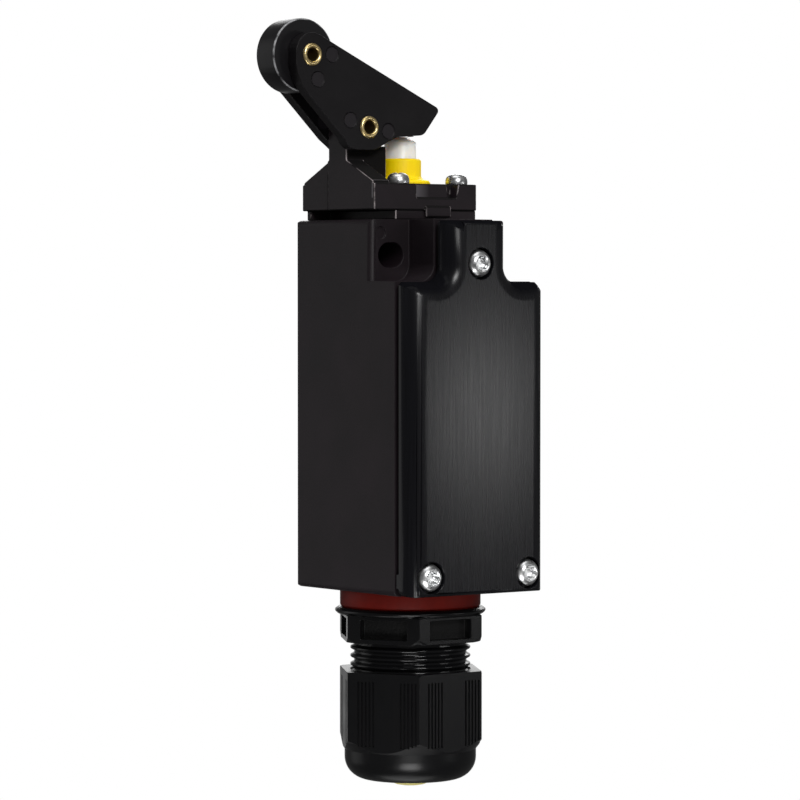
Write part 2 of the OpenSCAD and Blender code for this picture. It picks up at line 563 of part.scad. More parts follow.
// Cable gland
module gland_gasket() color("#6e1410") translate([0, -gland_y, 0]) rotate_extrude()
  polygon([[gland_thread / 2 + still_fit, g_gasket], [gland_gasket_d / 2 - 0.3, g_gasket],
    [gland_gasket_d / 2, g_gasket + 0.4], [gland_gasket_d / 2, g_top - 0.2], [gland_gasket_d / 2 - 0.2, g_top],
    [gland_thread / 2 + still_fit, g_top]]);
module gland_body() color("#17171a") translate([0, -gland_y, 0]) difference() {
  union() {
    // Threaded spigot in the body and the rim
    rotate_extrude() polygon([[cable_r, g_gasket], [gland_thread / 2 - 0.05, g_gasket],
      [gland_thread / 2 - 0.05, z_bot + floor_t + 2], [gland_thread / 2 - 0.7, z_bot + floor_t + 2.7],
      [cable_r, z_bot + floor_t + 2.7]]);
    rotate_extrude() polygon([[cable_r, g_rim - e], [gland_rim_d / 2 - 0.5, g_rim - e],
      [gland_rim_d / 2, g_rim + 0.45], [gland_rim_d / 2, g_rim + 0.8], [gland_rim_d / 2 - 0.6, g_gasket], [cable_r, g_gasket]]);
    // Hexagon with chamfered lower corners
    intersection() {
      zcyl_hex(g_hex, g_rim);
      rotate_extrude() polygon([[0, g_hex], [hex_r - 0.8, g_hex], [hex_r, g_hex + 1], [hex_r + 1, g_rim + 1],
        [0, g_rim + 1]]);
    }
    // Cap thread: core and rings
    zcyl(0, 0, g_hex - 12, g_hex + e, cap_r - 0.68);
    for (i = [0 : 6]) translate([0, 0, g_hex - 1.3 - 1.5 * i]) rotate_extrude()
      polygon([[cap_r - 0.8, -0.62], [cap_r, -0.18], [cap_r, 0.18], [cap_r - 0.8, 0.62]]);
  }
  zcyl(0, 0, g_hex - 20, z_bot + floor_t + 9, cable_r);
  zcyl(0, 0, g_hex - 20, g_hex - 1, seal_r + still_fit);
  // Windows in the flats
  for (a = [30 : 60 : 330]) rotate([0, 0, a])
    box([gland_flats / 2 - 1.8, -4.5, g_hex + 0.8], [gland_flats, 4.5, g_rim - 0.6]);
}
module zcyl_hex(z1, z2) { translate([0, 0, z1]) cylinder(r = hex_r, h = z2 - z1, $fn = 6); }
// Nut with a domed foot and ribbed patches on its flats
module gland_nut() color("#1a1a1d") translate([0, -gland_y, 0]) difference() {
  zd = g_bot + 5.4;
  rd = gland_flats / 2 - 0.2;
  intersection() {
    zcyl_hex(g_bot, g_nut);
    union() {
      rotate_extrude() polygon([[0, g_nut], [hex_r - 0.3, g_nut], [hex_r + 0.2, g_nut - 0.5], [hex_r + 0.2, zd + 2.3],
        [hex_r - 0.8, zd + 1.6], [rd, zd], [0, zd]]);
      zcyl(0, 0, g_bot + dome_r, zd + e, rd);
      zcyl(0, 0, g_bot, g_bot + dome_r + e, rd - dome_r);
      rotate_extrude() translate([rd - dome_r, g_bot + dome_r]) circle(r = dome_r);
    }
  }
  // Thread room, seat of the sealing insert and the cable hole
  zcyl(0, 0, g_nut - 8.2, g_nut + 1, cap_r + 0.06);
  rotate_extrude() polygon([[0, g_nut - 8], [seal_r + 1.2, g_nut - 8], [seal_r + 0.1, g_bot + 4.6],
    [cable_d / 2 + 0.4, g_bot + 2.2], [0, g_bot + 2.2]]);
  zcyl(0, 0, g_bot - 1, g_bot + 3, cable_d / 2);
  // Fine grooves of the grip patches
  for (a = [30 : 60 : 330], s = [-1, 1], i = [-2 : 2]) rotate([0, 0, a])
    translate([gland_flats / 2 - 0.3, s * 4.1 + 0.7 + i * 0.72 - 0.17, zd + 1.2]) cube([2, 0.34, nut_h - 8.1]);
}
module gland_seal() color("#2b2b2e") translate([0, -gland_y, 0]) rotate_extrude()
  polygon([[5.4, g_bot + 2.9], [cable_d / 2, g_bot + 2.9], [seal_r, g_bot + 5.2], [seal_r, g_hex - 1.2],
    [5.4, g_hex - 1.2]]);
module dust_plug() color("#e8dc8c") translate([0, -gland_y, 0]) rotate_extrude()
  polygon([[0, g_bot - 1.25], [1.8, g_bot - 1.2], [2.6, g_bot - 1.05], [4.6, g_bot - 0.2],
    [cable_d / 2 - 0.1, g_bot + 0.5], [cable_d / 2 - 0.1, g_bot + 2], [5.3, g_bot + 2], [5.3, g_bot + 6],
    [4.3, g_bot + 6], [4.3, g_bot + 1.8], [0, g_bot + 1.6]]);

housing();
cover();
cover_gasket();
cover_screws();
head_base();
head_block();
head_screws();
guide_collar();
plunger_seal();
plunger();
plunger_spring();
lever();
roller();
roller_rivet();
pivot_rivet();
contact_block();
contact_slider();
contact_bridges();
contact_springs();
closed_contacts();
open_contacts();
terminal_clamps();
terminal_screws();
gland_gasket();
gland_body();
gland_nut();
gland_seal();
dust_plug();
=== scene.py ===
import math

import bpy
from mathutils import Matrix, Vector


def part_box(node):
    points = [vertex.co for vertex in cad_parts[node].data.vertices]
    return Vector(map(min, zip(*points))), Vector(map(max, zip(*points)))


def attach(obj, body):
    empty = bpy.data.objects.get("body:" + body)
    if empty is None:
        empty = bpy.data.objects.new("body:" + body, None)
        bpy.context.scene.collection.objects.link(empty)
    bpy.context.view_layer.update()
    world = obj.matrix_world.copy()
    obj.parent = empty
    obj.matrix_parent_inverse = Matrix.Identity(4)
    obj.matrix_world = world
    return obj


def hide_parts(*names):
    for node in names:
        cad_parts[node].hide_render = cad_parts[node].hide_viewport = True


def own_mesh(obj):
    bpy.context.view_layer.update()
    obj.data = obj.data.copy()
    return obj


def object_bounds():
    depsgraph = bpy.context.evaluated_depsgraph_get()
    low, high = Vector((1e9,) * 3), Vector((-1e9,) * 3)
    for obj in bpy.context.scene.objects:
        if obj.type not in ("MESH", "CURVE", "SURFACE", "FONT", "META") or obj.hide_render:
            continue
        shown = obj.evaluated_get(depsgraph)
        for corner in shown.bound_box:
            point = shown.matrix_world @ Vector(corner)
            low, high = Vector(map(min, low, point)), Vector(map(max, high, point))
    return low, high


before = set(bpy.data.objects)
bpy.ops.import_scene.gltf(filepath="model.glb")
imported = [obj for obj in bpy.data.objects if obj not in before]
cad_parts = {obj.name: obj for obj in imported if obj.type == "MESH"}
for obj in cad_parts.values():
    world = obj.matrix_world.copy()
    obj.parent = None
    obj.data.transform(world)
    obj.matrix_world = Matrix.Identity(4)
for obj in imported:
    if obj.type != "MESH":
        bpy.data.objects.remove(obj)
cad_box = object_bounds()

# Camera. A long lens stands to the left of the cover, level with the upper part of the body and
# tipped down by less than two degrees, so that the upright edges stay upright.
camera_data = bpy.data.cameras.new("camera")
camera_data.sensor_width = 36
camera_data.lens = 169.5
camera = bpy.data.objects.new("camera", camera_data)
camera.location = (-0.4021, -0.5553, -0.0058)
camera.rotation_euler = (math.radians(88.3), 0, math.radians(-36.47))
bpy.context.scene.collection.objects.link(camera)
bpy.context.scene.camera = camera

# Housing and head. A deep box with two slotted ears and a neck carries a plate and a block with the
# lever's tower, held by four screws. All are moulded in black glass-filled polyamide, and the
# spark-eroded tool leaves a fine even grain without much shine.


def linear(code):
    """Linear RGBA of an sRGB hex colour."""
    values = [int(code[i:i + 2], 16) / 255 for i in (1, 3, 5)]
    return [v / 12.92 if v <= 0.04045 else ((v + 0.055) / 1.055) ** 2.4 for v in values] + [1]


def add(tree, kind, inputs=None, **settings):
    """Adds a node, sets its properties and fills its inputs with values, sockets or other nodes.

    A node that is given as an input stands for its first output in use.
    """
    made = tree.nodes.new("ShaderNode" + kind)
    for name, value in settings.items():
        setattr(made, name, value)
    for socket, value in (inputs or {}).items():
        if isinstance(value, bpy.types.Node):
            value = next(output for output in value.outputs if not output.is_unavailable)
        if isinstance(value, bpy.types.NodeSocket):
            tree.links.new(value, made.inputs[socket])
        else:
            made.inputs[socket].default_value = value
    return made


def new_material(name):
    """An empty material, its tree and the position on the piece in metres."""
    material = bpy.data.materials.new(name)
    material.use_nodes = True
    tree = material.node_tree
    tree.nodes.clear()
    return material, tree, add(tree, "TexCoord").outputs["Object"]


def per(size):
    """Texture scale at which one cell of a pattern is size millimetres wide."""
    return 1000 / size


def dress(material, names, edge=0.0, sharp=35, edge_material=None):
    """Gives CAD pieces a material and breaks edges over sharp degrees by edge millimetres.

    The last argument is the material of the broken edges, where it differs from the faces.
    """
    for name in names:
        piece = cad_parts[name]
        piece.data.materials.clear()
        piece.data.materials.append(material)
        if edge_material:
            piece.data.materials.append(edge_material)
        if edge:
            weld = piece.modifiers.new("weld", "WELD")
            weld.merge_threshold = 2e-6
            merge = piece.modifiers.new("merge", "DECIMATE")
            merge.decimate_type = "DISSOLVE"
            merge.angle_limit = math.radians(0.2)
            bevel = piece.modifiers.new("edge", "BEVEL")
            bevel.width = edge / 1000
            bevel.segments = 3
            bevel.limit_method = "ANGLE"
            bevel.angle_limit = math.radians(sharp)
            bevel.use_clamp_overlap = False
            bevel.harden_normals = True
            bevel.miter_outer = "MITER_ARC"
            if edge_material:
                bevel.material = 1


# The pits that such a tool leaves are nearer 0.1 mm wide, drawn coarser so that they show.
polyamide, tree, place = new_material("black glass-filled polyamide, eroded grain")
grain = add(tree, "TexNoise", {"Vector": place, "Scale": per(0.3), "Detail": 3, "Roughness": 0.6})
clouds = add(tree, "TexNoise", {"Vector": place, "Scale": per(9), "Detail": 4, "Roughness": 0.55})
tone = add(tree, "MapRange", {"Value": clouds, "From Min": 0.35, "From Max": 0.7})
colour = add(
    tree,
    "Mix",
    {"Factor": tone, "A": linear("#100a0e"), "B": linear("#170f14")},
    data_type="RGBA",
)
rough = add(
    tree,
    "MapRange",
    {"Value": grain, "From Min": 0.3, "From Max": 0.7, "To Min": 0.46, "To Max": 0.56},
)
bump = add(tree, "Bump", {"Height": grain, "Strength": 0.08, "Distance": 0.00002})

# Above the flat top of the head block, what faces forward is painted nearly black and made rougher:
# painted shade where the lever's cheeks hang in front of the tower.
block_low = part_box("head_block")[0]
block_height = 0.00635
flat_top = block_low.z + block_height
soft_edge = 0.0003
coarseness = 0.4
apart = add(tree, "SeparateXYZ", {"Vector": place})
normal = add(tree, "SeparateXYZ", {"Vector": add(tree, "NewGeometry").outputs["Normal"]})
forward = add(
    tree,
    "MapRange",
    {"Value": normal.outputs["Y"], "From Min": -0.3, "From Max": -0.2, "To Min": 1, "To Max": 0},
)
above = add(
    tree,
    "MapRange",
    {"Value": apart.outputs["Z"], "From Min": flat_top, "From Max": flat_top + soft_edge},
)
painted_tower_shade = add(tree, "Math", {0: forward, 1: above}, operation="MULTIPLY")
colour = add(tree, "Mix", {"Factor": painted_tower_shade, "A": colour, "B": linear("#040202")}, data_type="RGBA")
rough = add(tree, "Math", {0: painted_tower_shade, 1: coarseness, 2: rough}, operation="MULTIPLY_ADD")

# The small panel that is sunk in the front of the block is painted paler towards its left end: a painted
# highlight.
panel_sunk = 0.00095
panel_slack = 0.0002
panel_height = 0.0026
panel_left = -0.0046
panel_middle = -0.0014
sunk = add(
    tree,
    "Math",
    {0: apart.outputs["Y"], 1: block_low.y + panel_sunk, 2: panel_slack},
    operation="COMPARE",
)
raised = add(
    tree,
    "Math",
    {0: apart.outputs["Z"], 1: flat_top - panel_height},
    operation="GREATER_THAN",
)
fade = add(
    tree,
    "MapRange",
    {
        "Value": apart.outputs["X"],
        "From Min": panel_left,
        "From Max": panel_middle,
        "To Min": 1,
        "To Max": 0,
    },
)
panel = add(tree, "Math", {0: sunk, 1: raised}, operation="MULTIPLY")
painted_panel_highlight = add(tree, "Math", {0: panel, 1: fade}, operation="MULTIPLY")
colour = add(tree, "Mix", {"Factor": painted_panel_highlight, "A": colour, "B": linear("#4a474a")}, data_type="RGBA")
shader = add(
    tree,
    "BsdfPrincipled",
    {"Base Color": colour, "Roughness": rough, "Specular IOR Level": 0.25, "IOR": 1.53, "Normal": bump},
)
add(tree, "OutputMaterial", {"Surface": shader})
dress(polyamide, ["housing"], edge=0.12)

# The upright corners of the head carry a painted highlight: pale patches in their colour, where they are
# also smoother and shine.
edge_highlight_polyamide, tree, place = new_material("black polyamide corner, painted highlight")
glint_and_scuff_noise = add(tree, "TexNoise", {"Vector": place, "Scale": per(2.5), "Detail": 4, "Roughness": 0.6})
patches = add(tree, "MapRange", {"Value": glint_and_scuff_noise, "From Min": 0.4, "From Max": 0.6})
normal = add(tree, "SeparateXYZ", {"Vector": add(tree, "NewGeometry").outputs["Normal"]})
turn = add(tree, "Math", {0: normal.outputs["X"], 1: normal.outputs["Y"]}, operation="MULTIPLY")
turn = add(tree, "Math", {0: turn}, operation="ABSOLUTE")
upright = add(tree, "MapRange", {"Value": turn, "From Min": 0.1, "From Max": 0.25})
glint_and_scuff = add(tree, "Math", {0: patches, 1: upright}, operation="MULTIPLY")
# Painted highlight: the upright corners are coloured pale in patches.
colour = add(
    tree,
    "Mix",
    {"Factor": glint_and_scuff, "A": linear("#060304"), "B": linear("#8a8283")},
    data_type="RGBA",
)
rough = add(tree, "MapRange", {"Value": glint_and_scuff, "To Min": 0.85, "To Max": 0.25})
shader = add(
    tree,
    "BsdfPrincipled",
    {"Base Color": colour, "Roughness": rough, "Specular IOR Level": 0.25, "IOR": 1.53},
)
add(tree, "OutputMaterial", {"Surface": shader})
dress(polyamide, ["head_base", "head_block"], edge=0.22, edge_material=edge_highlight_polyamide)

# Cover. A thick black ABS lid with well rounded edges, held by three screws. Its flat face was wiped
# upright with a fine abrasive after moulding: thin streaks run along its height and spread the light
# into a soft upright band. Real streaks are far finer than 0.28 mm, drawn coarser so that they show.
abs_brushed, tree, place = new_material("black ABS, brushed upright")
along = add(tree, "Mapping", {"Vector": place, "Scale": (per(0.28), per(0.28), per(14))})
streaks = add(tree, "TexNoise", {"Vector": along, "Scale": 1, "Detail": 3, "Roughness": 0.65})
grain = add(tree, "TexNoise", {"Vector": place, "Scale": per(0.22), "Detail": 2})
tone = add(tree, "MapRange", {"Value": streaks, "From Min": 0.3, "From Max": 0.72})
colour = add(
    tree,
    "Mix",
    {"Factor": tone, "A": linear("#09090b"), "B": linear("#0e0e11")},
    data_type="RGBA",
)
wiped = add(
    tree,
    "MapRange",
    {"Value": streaks, "From Min": 0.3, "From Max": 0.7, "To Min": 0.25, "To Max": 0.3},
)

# The rounds weren't wiped and keep the polish of the tool. Handling has dulled them towards the
# neck, and dust takes the shine off what faces up.
dulled_from, dulled_to = -0.018, -0.005
neck_low, neck_high = -0.004, 0
normal = add(tree, "SeparateXYZ", {"Vector": add(tree, "NewGeometry").outputs["Normal"]})
height = add(tree, "SeparateXYZ", {"Vector": place}).outputs["Z"]
rounded = add(tree, "MapRange", {"Value": normal.outputs["Y"], "From Min": -0.985, "From Max": -0.9})
polish = add(
    tree,
    "MapRange",
    {"Value": height, "From Min": dulled_from, "From Max": dulled_to, "To Min": 0.17, "To Max": 0.24},
)
rough = add(tree, "Mix", {"Factor": rounded, "A": wiped, "B": polish})
round_shine = add(
    tree,
    "MapRange",
    {"Value": height, "From Min": neck_low, "From Max": neck_high, "To Min": 0.2, "To Max": 0.08},
)
shine = add(tree, "MapRange", {"Value": rounded, "To Min": 0.4, "To Max": round_shine})
dustless = add(
    tree,
    "MapRange",
    {"Value": normal.outputs["Z"], "From Min": 0.3, "From Max": 0.6, "To Min": 1, "To Max": 0},
)
shine = add(tree, "Math", {0: shine, 1: dustless}, operation="MULTIPLY")

# The face is very slightly bowed: half a millimetre at 14 mm to a side or 25 mm up or down.
cover_low, cover_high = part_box("cover")
bow = 0.0005
centred = add(tree, "Mapping", {"Vector": place, "Location": -(cover_low + cover_high) / 2})
bowed = add(tree, "Mapping", {"Vector": centred, "Scale": (per(14), 0, per(25))})
away = add(tree, "VectorMath", {0: bowed, 1: bowed}, operation="DOT_PRODUCT")
crown = add(tree, "Bump", {"Height": away, "Distance": bow}, invert=True)
pits = add(tree, "Bump", {"Height": grain, "Strength": 0.1, "Distance": 0.00002, "Normal": crown})
bump = add(tree, "Bump", {"Height": streaks, "Strength": 0.035, "Distance": 0.00002, "Normal": pits})
shader = add(
    tree,
    "BsdfPrincipled",
    {"Base Color": colour, "Roughness": rough, "Specular IOR Level": shine, "IOR": 1.52, "Normal": bump},
)
add(tree, "OutputMaterial", {"Surface": shader})
dress(abs_brushed, ["cover"], edge=0.15, sharp=60)

# Rubber pieces. The cover gasket, the plunger seal and the gland insert are dark nitrile, pressed in
# a mould and held by what they seal. The rubber is matt, with a faint bloom.
nitrile, tree, place = new_material("dark nitrile rubber, moulded")
bloom = add(tree, "TexNoise", {"Vector": place, "Scale": per(1.5), "Detail": 4})
colour = add(
    tree,
    "Mix",
    {"Factor": bloom, "A": linear("#0c0a07"), "B": linear("#1a160d")},
    data_type="RGBA",
)
bump = add(tree, "Bump", {"Height": bloom, "Strength": 0.2, "Distance": 0.00003})
shader = add(
    tree,
    "BsdfPrincipled",
    {"Base Color": colour, "Roughness": 0.75, "Specular IOR Level": 0.3, "IOR": 1.5, "Normal": bump},
)
add(tree, "OutputMaterial", {"Surface": shader})
dress(nitrile, ["cover_gasket", "plunger_seal", "gland_seal"])

# Screws and clamps. Cover, head and terminal screws are cold-headed steel, and the terminal clamps
# are stamped from it. Bright zinc plating gives them a lively shine that differs from spot to spot.
zinc, tree, place = new_material("bright zinc-plated steel")
plate = add(tree, "TexNoise", {"Vector": place, "Scale": per(0.9), "Detail": 3})
tone = add(tree, "MapRange", {"Value": plate, "From Min": 0.3, "From Max": 0.7})
colour = add(
    tree,
    "Mix",
    {"Factor": tone, "A": linear("#c8cacb"), "B": linear("#ececec")},
    data_type="RGBA",
)
rough = add(tree, "MapRange", {"Value": tone, "To Min": 0.24, "To Max": 0.4})
bump = add(tree, "Bump", {"Height": plate, "Strength": 0.15, "Distance": 0.00001})
shader = add(
    tree,
    "BsdfPrincipled",
    {"Base Color": colour, "Metallic": 1, "Roughness": rough, "Normal": bump},
)
add(tree, "OutputMaterial", {"Surface": shader})
dress(zinc, ["cover_screws", "head_screws", "terminal_screws", "terminal_clamps"], edge=0.06)

# Guide collar. Moulded in yellow acetal and pressed in the head round the plunger. The plastic is
# slightly waxy and lets a little light in.
collar_acetal, tree, place = new_material("yellow acetal, moulded")
swirl = add(tree, "TexNoise", {"Vector": place, "Scale": per(2), "Detail": 3})
colour = add(
    tree,
    "Mix",
    {"Factor": swirl, "A": linear("#ecc800"), "B": linear("#f4d800")},
    data_type="RGBA",
)
shader = add(
    tree,
    "BsdfPrincipled",
    {
        "Base Color": colour,
        "Roughness": 0.42,
        "IOR": 1.48,
        "Specular IOR Level": 0.2,
        "Subsurface Weight": 0.15,
        "Subsurface Radius": (0.6, 0.4, 0.1),
        "Subsurface Scale": 0.001,
    },
)
add(tree, "OutputMaterial", {"Surface": shader})
dress(collar_acetal, ["guide_collar"], edge=0.12)

# Plunger. Turned from natural white acetal, with a blunt cone at its tip that the lever presses. It
# is smooth and waxy, and light goes deep into it.
plunger_acetal, tree, place = new_material("white acetal, turned")
swirl = add(tree, "TexNoise", {"Vector": place, "Scale": per(1.2), "Detail": 3})
colour = add(
    tree,
    "Mix",
    {"Factor": swirl, "A": linear("#e4e0d8"), "B": linear("#eeeae2")},
    data_type="RGBA",
)
shader = add(
    tree,
    "BsdfPrincipled",
    {
        "Base Color": colour,
        "Roughness": 0.36,
        "IOR": 1.48,
        "Subsurface Weight": 0.8,
        "Subsurface Radius": (1, 0.8, 0.6),
        "Subsurface Scale": 0.003,
    },
)
add(tree, "OutputMaterial", {"Surface": shader})
dress(plunger_acetal, ["plunger"], edge=0.15)

# Springs. Spring steel wire, drawn bright and wound cold, so that it shines unevenly. The return
# spring closes up under the plunger: a copy of its solid, with a mesh of its own, stands for it.
spring_steel, tree, place = new_material("drawn spring steel")
drawn = add(tree, "TexNoise", {"Vector": place, "Scale": per(0.3), "Detail": 3})
rough = add(tree, "MapRange", {"Value": drawn, "To Min": 0.2, "To Max": 0.4})
shader = add(
    tree,
    "BsdfPrincipled",
    {"Base Color": linear("#a9a9a6"), "Metallic": 1, "Roughness": rough},
)
add(tree, "OutputMaterial", {"Surface": shader})
dress(spring_steel, ["plunger_spring", "contact_springs"])
coil = bpy.data.objects.new("return_spring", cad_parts["plunger_spring"].data.copy())
bpy.context.scene.collection.objects.link(coil)
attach(coil, "switch_body")
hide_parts("plunger_spring")
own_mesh(coil)

# Lever. One moulding of dark polyamide with two cheeks, which turns on a rivet in the tower. It is a
# little smoother than the body, and the ejector pins left round marks on its cheeks. The grain is
# drawn coarser than the real one so that it shows, as on the housing.
lever_polyamide, tree, place = new_material("dark polyamide, satin moulding")
grain = add(tree, "TexNoise", {"Vector": place, "Scale": per(0.35), "Detail": 3, "Roughness": 0.6})
clouds = add(tree, "TexNoise", {"Vector": place, "Scale": per(6), "Detail": 4})
tone = add(tree, "MapRange", {"Value": clouds, "From Min": 0.35, "From Max": 0.7})
colour = add(
    tree,
    "Mix",
    {"Factor": tone, "A": linear("#090709"), "B": linear("#0e0c0e")},
    data_type="RGBA",
)

# The marks' places are in millimetres, sideways and up.
marks = ((-18.65, 35.1), (-21.7, 30.7), (-14.7, 23.75), (-6.45, 22))
mark_radius = 0.00125
mark_rim = 0.0014
far = 1.0
apart = add(tree, "SeparateXYZ", {"Vector": place})
side_on = add(tree, "CombineXYZ", {"X": apart.outputs["X"], "Z": apart.outputs["Z"]})
nearest = far
for x, z in marks:
    off = add(tree, "VectorMath", {0: side_on, 1: (x / 1000, 0, z / 1000)}, operation="DISTANCE")
    nearest = add(tree, "Math", {0: off, 1: nearest}, operation="MINIMUM")
disc = add(
    tree,
    "MapRange",
    {"Value": nearest, "From Min": mark_radius, "From Max": mark_rim, "To Min": 1, "To Max": 0},
)
colour = add(tree, "Mix", {"Factor": disc, "A": colour, "B": linear("#1a171a")}, data_type="RGBA")
rough = add(
    tree,
    "MapRange",
    {"Value": grain, "From Min": 0.3, "From Max": 0.7, "To Min": 0.38, "To Max": 0.5},
)
bump = add(tree, "Bump", {"Height": grain, "Strength": 0.08, "Distance": 0.00002})
shader = add(
    tree,
    "BsdfPrincipled",
    {"Base Color": colour, "Roughness": rough, "Specular IOR Level": 0.19, "IOR": 1.53, "Normal": bump},
)
add(tree, "OutputMaterial", {"Surface": shader})
dress(lever_polyamide, ["lever"], edge=0.15)

# Roller. Turned from dark acetal and held by a rivet between the cheeks. Fine rings run round its
# faces and its tread, drawn coarser than a lathe tool's real feed so that they show. Its rims carry a
# broken pale line: partly scuffs from what it runs on, partly a painted highlight along the edges.
roller_acetal, tree, place = new_material("dark acetal, turned")
roller_low, roller_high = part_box("roller")
axle = (roller_low + roller_high) / 2
centred = add(tree, "Mapping", {"Vector": place, "Location": -axle})
apart = add(tree, "SeparateXYZ", {"Vector": centred})
side_on = add(tree, "CombineXYZ", {"X": apart.outputs["X"], "Z": apart.outputs["Z"]})
radius = add(tree, "VectorMath", {0: side_on}, operation="LENGTH")
ring = add(tree, "CombineXYZ", {"X": radius, "Y": apart.outputs["Y"]})
rings = add(tree, "TexNoise", {"Vector": ring, "Scale": per(0.25), "Detail": 2})
rough = add(
    tree,
    "MapRange",
    {"Value": rings, "From Min": 0.3, "From Max": 0.7, "To Min": 0.3, "To Max": 0.45},
)
bump = add(tree, "Bump", {"Height": rings, "Strength": 0.12, "Distance": 0.00002})
# Pale broken line on the rims: partly scuffs, partly a painted highlight.
rim = 0.0003
tread = (roller_high.z - roller_low.z) / 2 - rim
end_face = (roller_high.y - roller_low.y) / 2 - rim
glint_and_scuff_noise = add(tree, "TexNoise", {"Vector": place, "Scale": per(1.6), "Detail": 4, "Roughness": 0.65})
glint_and_scuff = add(tree, "MapRange", {"Value": glint_and_scuff_noise, "From Min": 0.36, "From Max": 0.6})
across = add(tree, "Math", {0: apart.outputs["Y"]}, operation="ABSOLUTE")
for distance, start in ((radius, tread), (across, end_face)):
    near = add(tree, "MapRange", {"Value": distance, "From Min": start, "From Max": start + rim / 3})
    glint_and_scuff = add(tree, "Math", {0: near, 1: glint_and_scuff}, operation="MULTIPLY")
colour = add(
    tree,
    "Mix",
    {"Factor": glint_and_scuff, "A": linear("#0e0d0f"), "B": linear("#8c8c8e")},
    data_type="RGBA",
)
shader = add(
    tree,
    "BsdfPrincipled",
    {"Base Color": colour, "Roughness": rough, "Specular IOR Level": 0.28, "IOR": 1.48, "Normal": bump},
)
add(tree, "OutputMaterial", {"Surface": shader})
dress(roller_acetal, ["roller"], edge=0.1)

# Rivets. Tubular brass rivets, clenched over the cheeks and burnished by the tool, so that the
# rolled rims are bright. Their bores are painted dark brown: painted shade inside the tubes.
brass, tree, place = new_material("brass, clenched and burnished")
burnish = add(tree, "TexNoise", {"Vector": place, "Scale": per(1.2), "Detail": 2})
colour = add(
    tree,
    "Mix",
    {"Factor": burnish, "A": linear("#dcbe78"), "B": linear("#f0dca8")},
    data_type="RGBA",
)
bore_radius = 0.00112
bore_rim = 0.00122
apart = add(tree, "SeparateXYZ", {"Vector": place})
side_on = add(tree, "CombineXYZ", {"X": apart.outputs["X"], "Z": apart.outputs["Z"]})
nearest = far
for name in ("roller_rivet", "pivot_rivet"):
    rivet_low, rivet_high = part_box(name)
    rivet_axis = ((rivet_low.x + rivet_high.x) / 2, 0, (rivet_low.z + rivet_high.z) / 2)
    off = add(tree, "VectorMath", {0: side_on, 1: rivet_axis}, operation="DISTANCE")
    nearest = add(tree, "Math", {0: off, 1: nearest}, operation="MINIMUM")
# Painted shade: the bores are coloured dark brown.
painted_bore_shade = add(
    tree,
    "MapRange",
    {"Value": nearest, "From Min": bore_radius, "From Max": bore_rim, "To Min": 1, "To Max": 0},
)
colour = add(tree, "Mix", {"Factor": painted_bore_shade, "A": colour, "B": linear("#3c2a12")}, data_type="RGBA")
rough = add(tree, "MapRange", {"Value": painted_bore_shade, "To Min": 0.33, "To Max": 0.45})
shader = add(tree, "BsdfPrincipled", {"Base Color": colour, "Metallic": 1, "Roughness": rough})
add(tree, "OutputMaterial", {"Surface": shader})
dress(brass, ["roller_rivet", "pivot_rivet"], edge=0.08)

# Contact block. Moulded in grey phenolic and set in the body behind the cover. Its filler gives it a
# fine mottle and a half-matt face.
phenolic, tree, place = new_material("grey phenolic, moulded")
filler = add(tree, "TexNoise", {"Vector": place, "Scale": per(0.6), "Detail": 5})
colour = add(
    tree,
    "Mix",
    {"Factor": filler, "A": linear("#6d675b"), "B": linear("#958f81")},
    data_type="RGBA",
)
shader = add(tree, "BsdfPrincipled", {"Base Color": colour, "Roughness": 0.5, "IOR": 1.6})
add(tree, "OutputMaterial", {"Surface": shader})
dress(phenolic, ["contact_block"], edge=0.1)

# Contact slider. Moulded in pale polyester, it is pushed down by the plunger and carries the two
# bridges. The plastic is even, with a soft shine.
polyester, tree, place = new_material("pale polyester, moulded")
filler = add(tree, "TexNoise", {"Vector": place, "Scale": per(0.8), "Detail": 4})
colour = add(
    tree,
    "Mix",
    {"Factor": filler, "A": linear("#cfc9b8"), "B": linear("#e3decf")},
    data_type="RGBA",
)
shader = add(tree, "BsdfPrincipled", {"Base Color": colour, "Roughness": 0.45, "IOR": 1.55})
add(tree, "OutputMaterial", {"Surface": shader})
dress(polyester, ["contact_slider"], edge=0.1)

# Contacts. Bridges and fixed contacts are stamped from tin brass strip, which comes bright and a
# little uneven from the rolls. The block holds the fixed ones, and the bridges ride in the slider.
contact_brass, tree, place = new_material("tin brass, stamped strip")
rolled = add(tree, "TexNoise", {"Vector": place, "Scale": per(0.5), "Detail": 4})
rough = add(tree, "MapRange", {"Value": rolled, "To Min": 0.2, "To Max": 0.4})
shader = add(
    tree,
    "BsdfPrincipled",
    {"Base Color": linear("#d2a874"), "Metallic": 1, "Roughness": rough},
)
add(tree, "OutputMaterial", {"Surface": shader})
dress(contact_brass, ["contact_bridges", "closed_contacts", "open_contacts"])

# Gland gasket. A thick ring of dark red silicone, moulded and clamped between the body and the
# gland. It is smooth but dull.
silicone, tree, place = new_material("dark red silicone, moulded")
bloom = add(tree, "TexNoise", {"Vector": place, "Scale": per(1.5), "Detail": 4})
colour = add(
    tree,
    "Mix",
    {"Factor": bloom, "A": linear("#500b05"), "B": linear("#641007")},
    data_type="RGBA",
)
bump = add(tree, "Bump", {"Height": bloom, "Strength": 0.15, "Distance": 0.00003})
shader = add(
    tree,
    "BsdfPrincipled",
    {"Base Color": colour, "Roughness": 0.5, "Specular IOR Level": 0.15, "IOR": 1.45, "Normal": bump},
)
add(tree, "OutputMaterial", {"Surface": shader})
dress(silicone, ["gland_gasket"], edge=0.1)

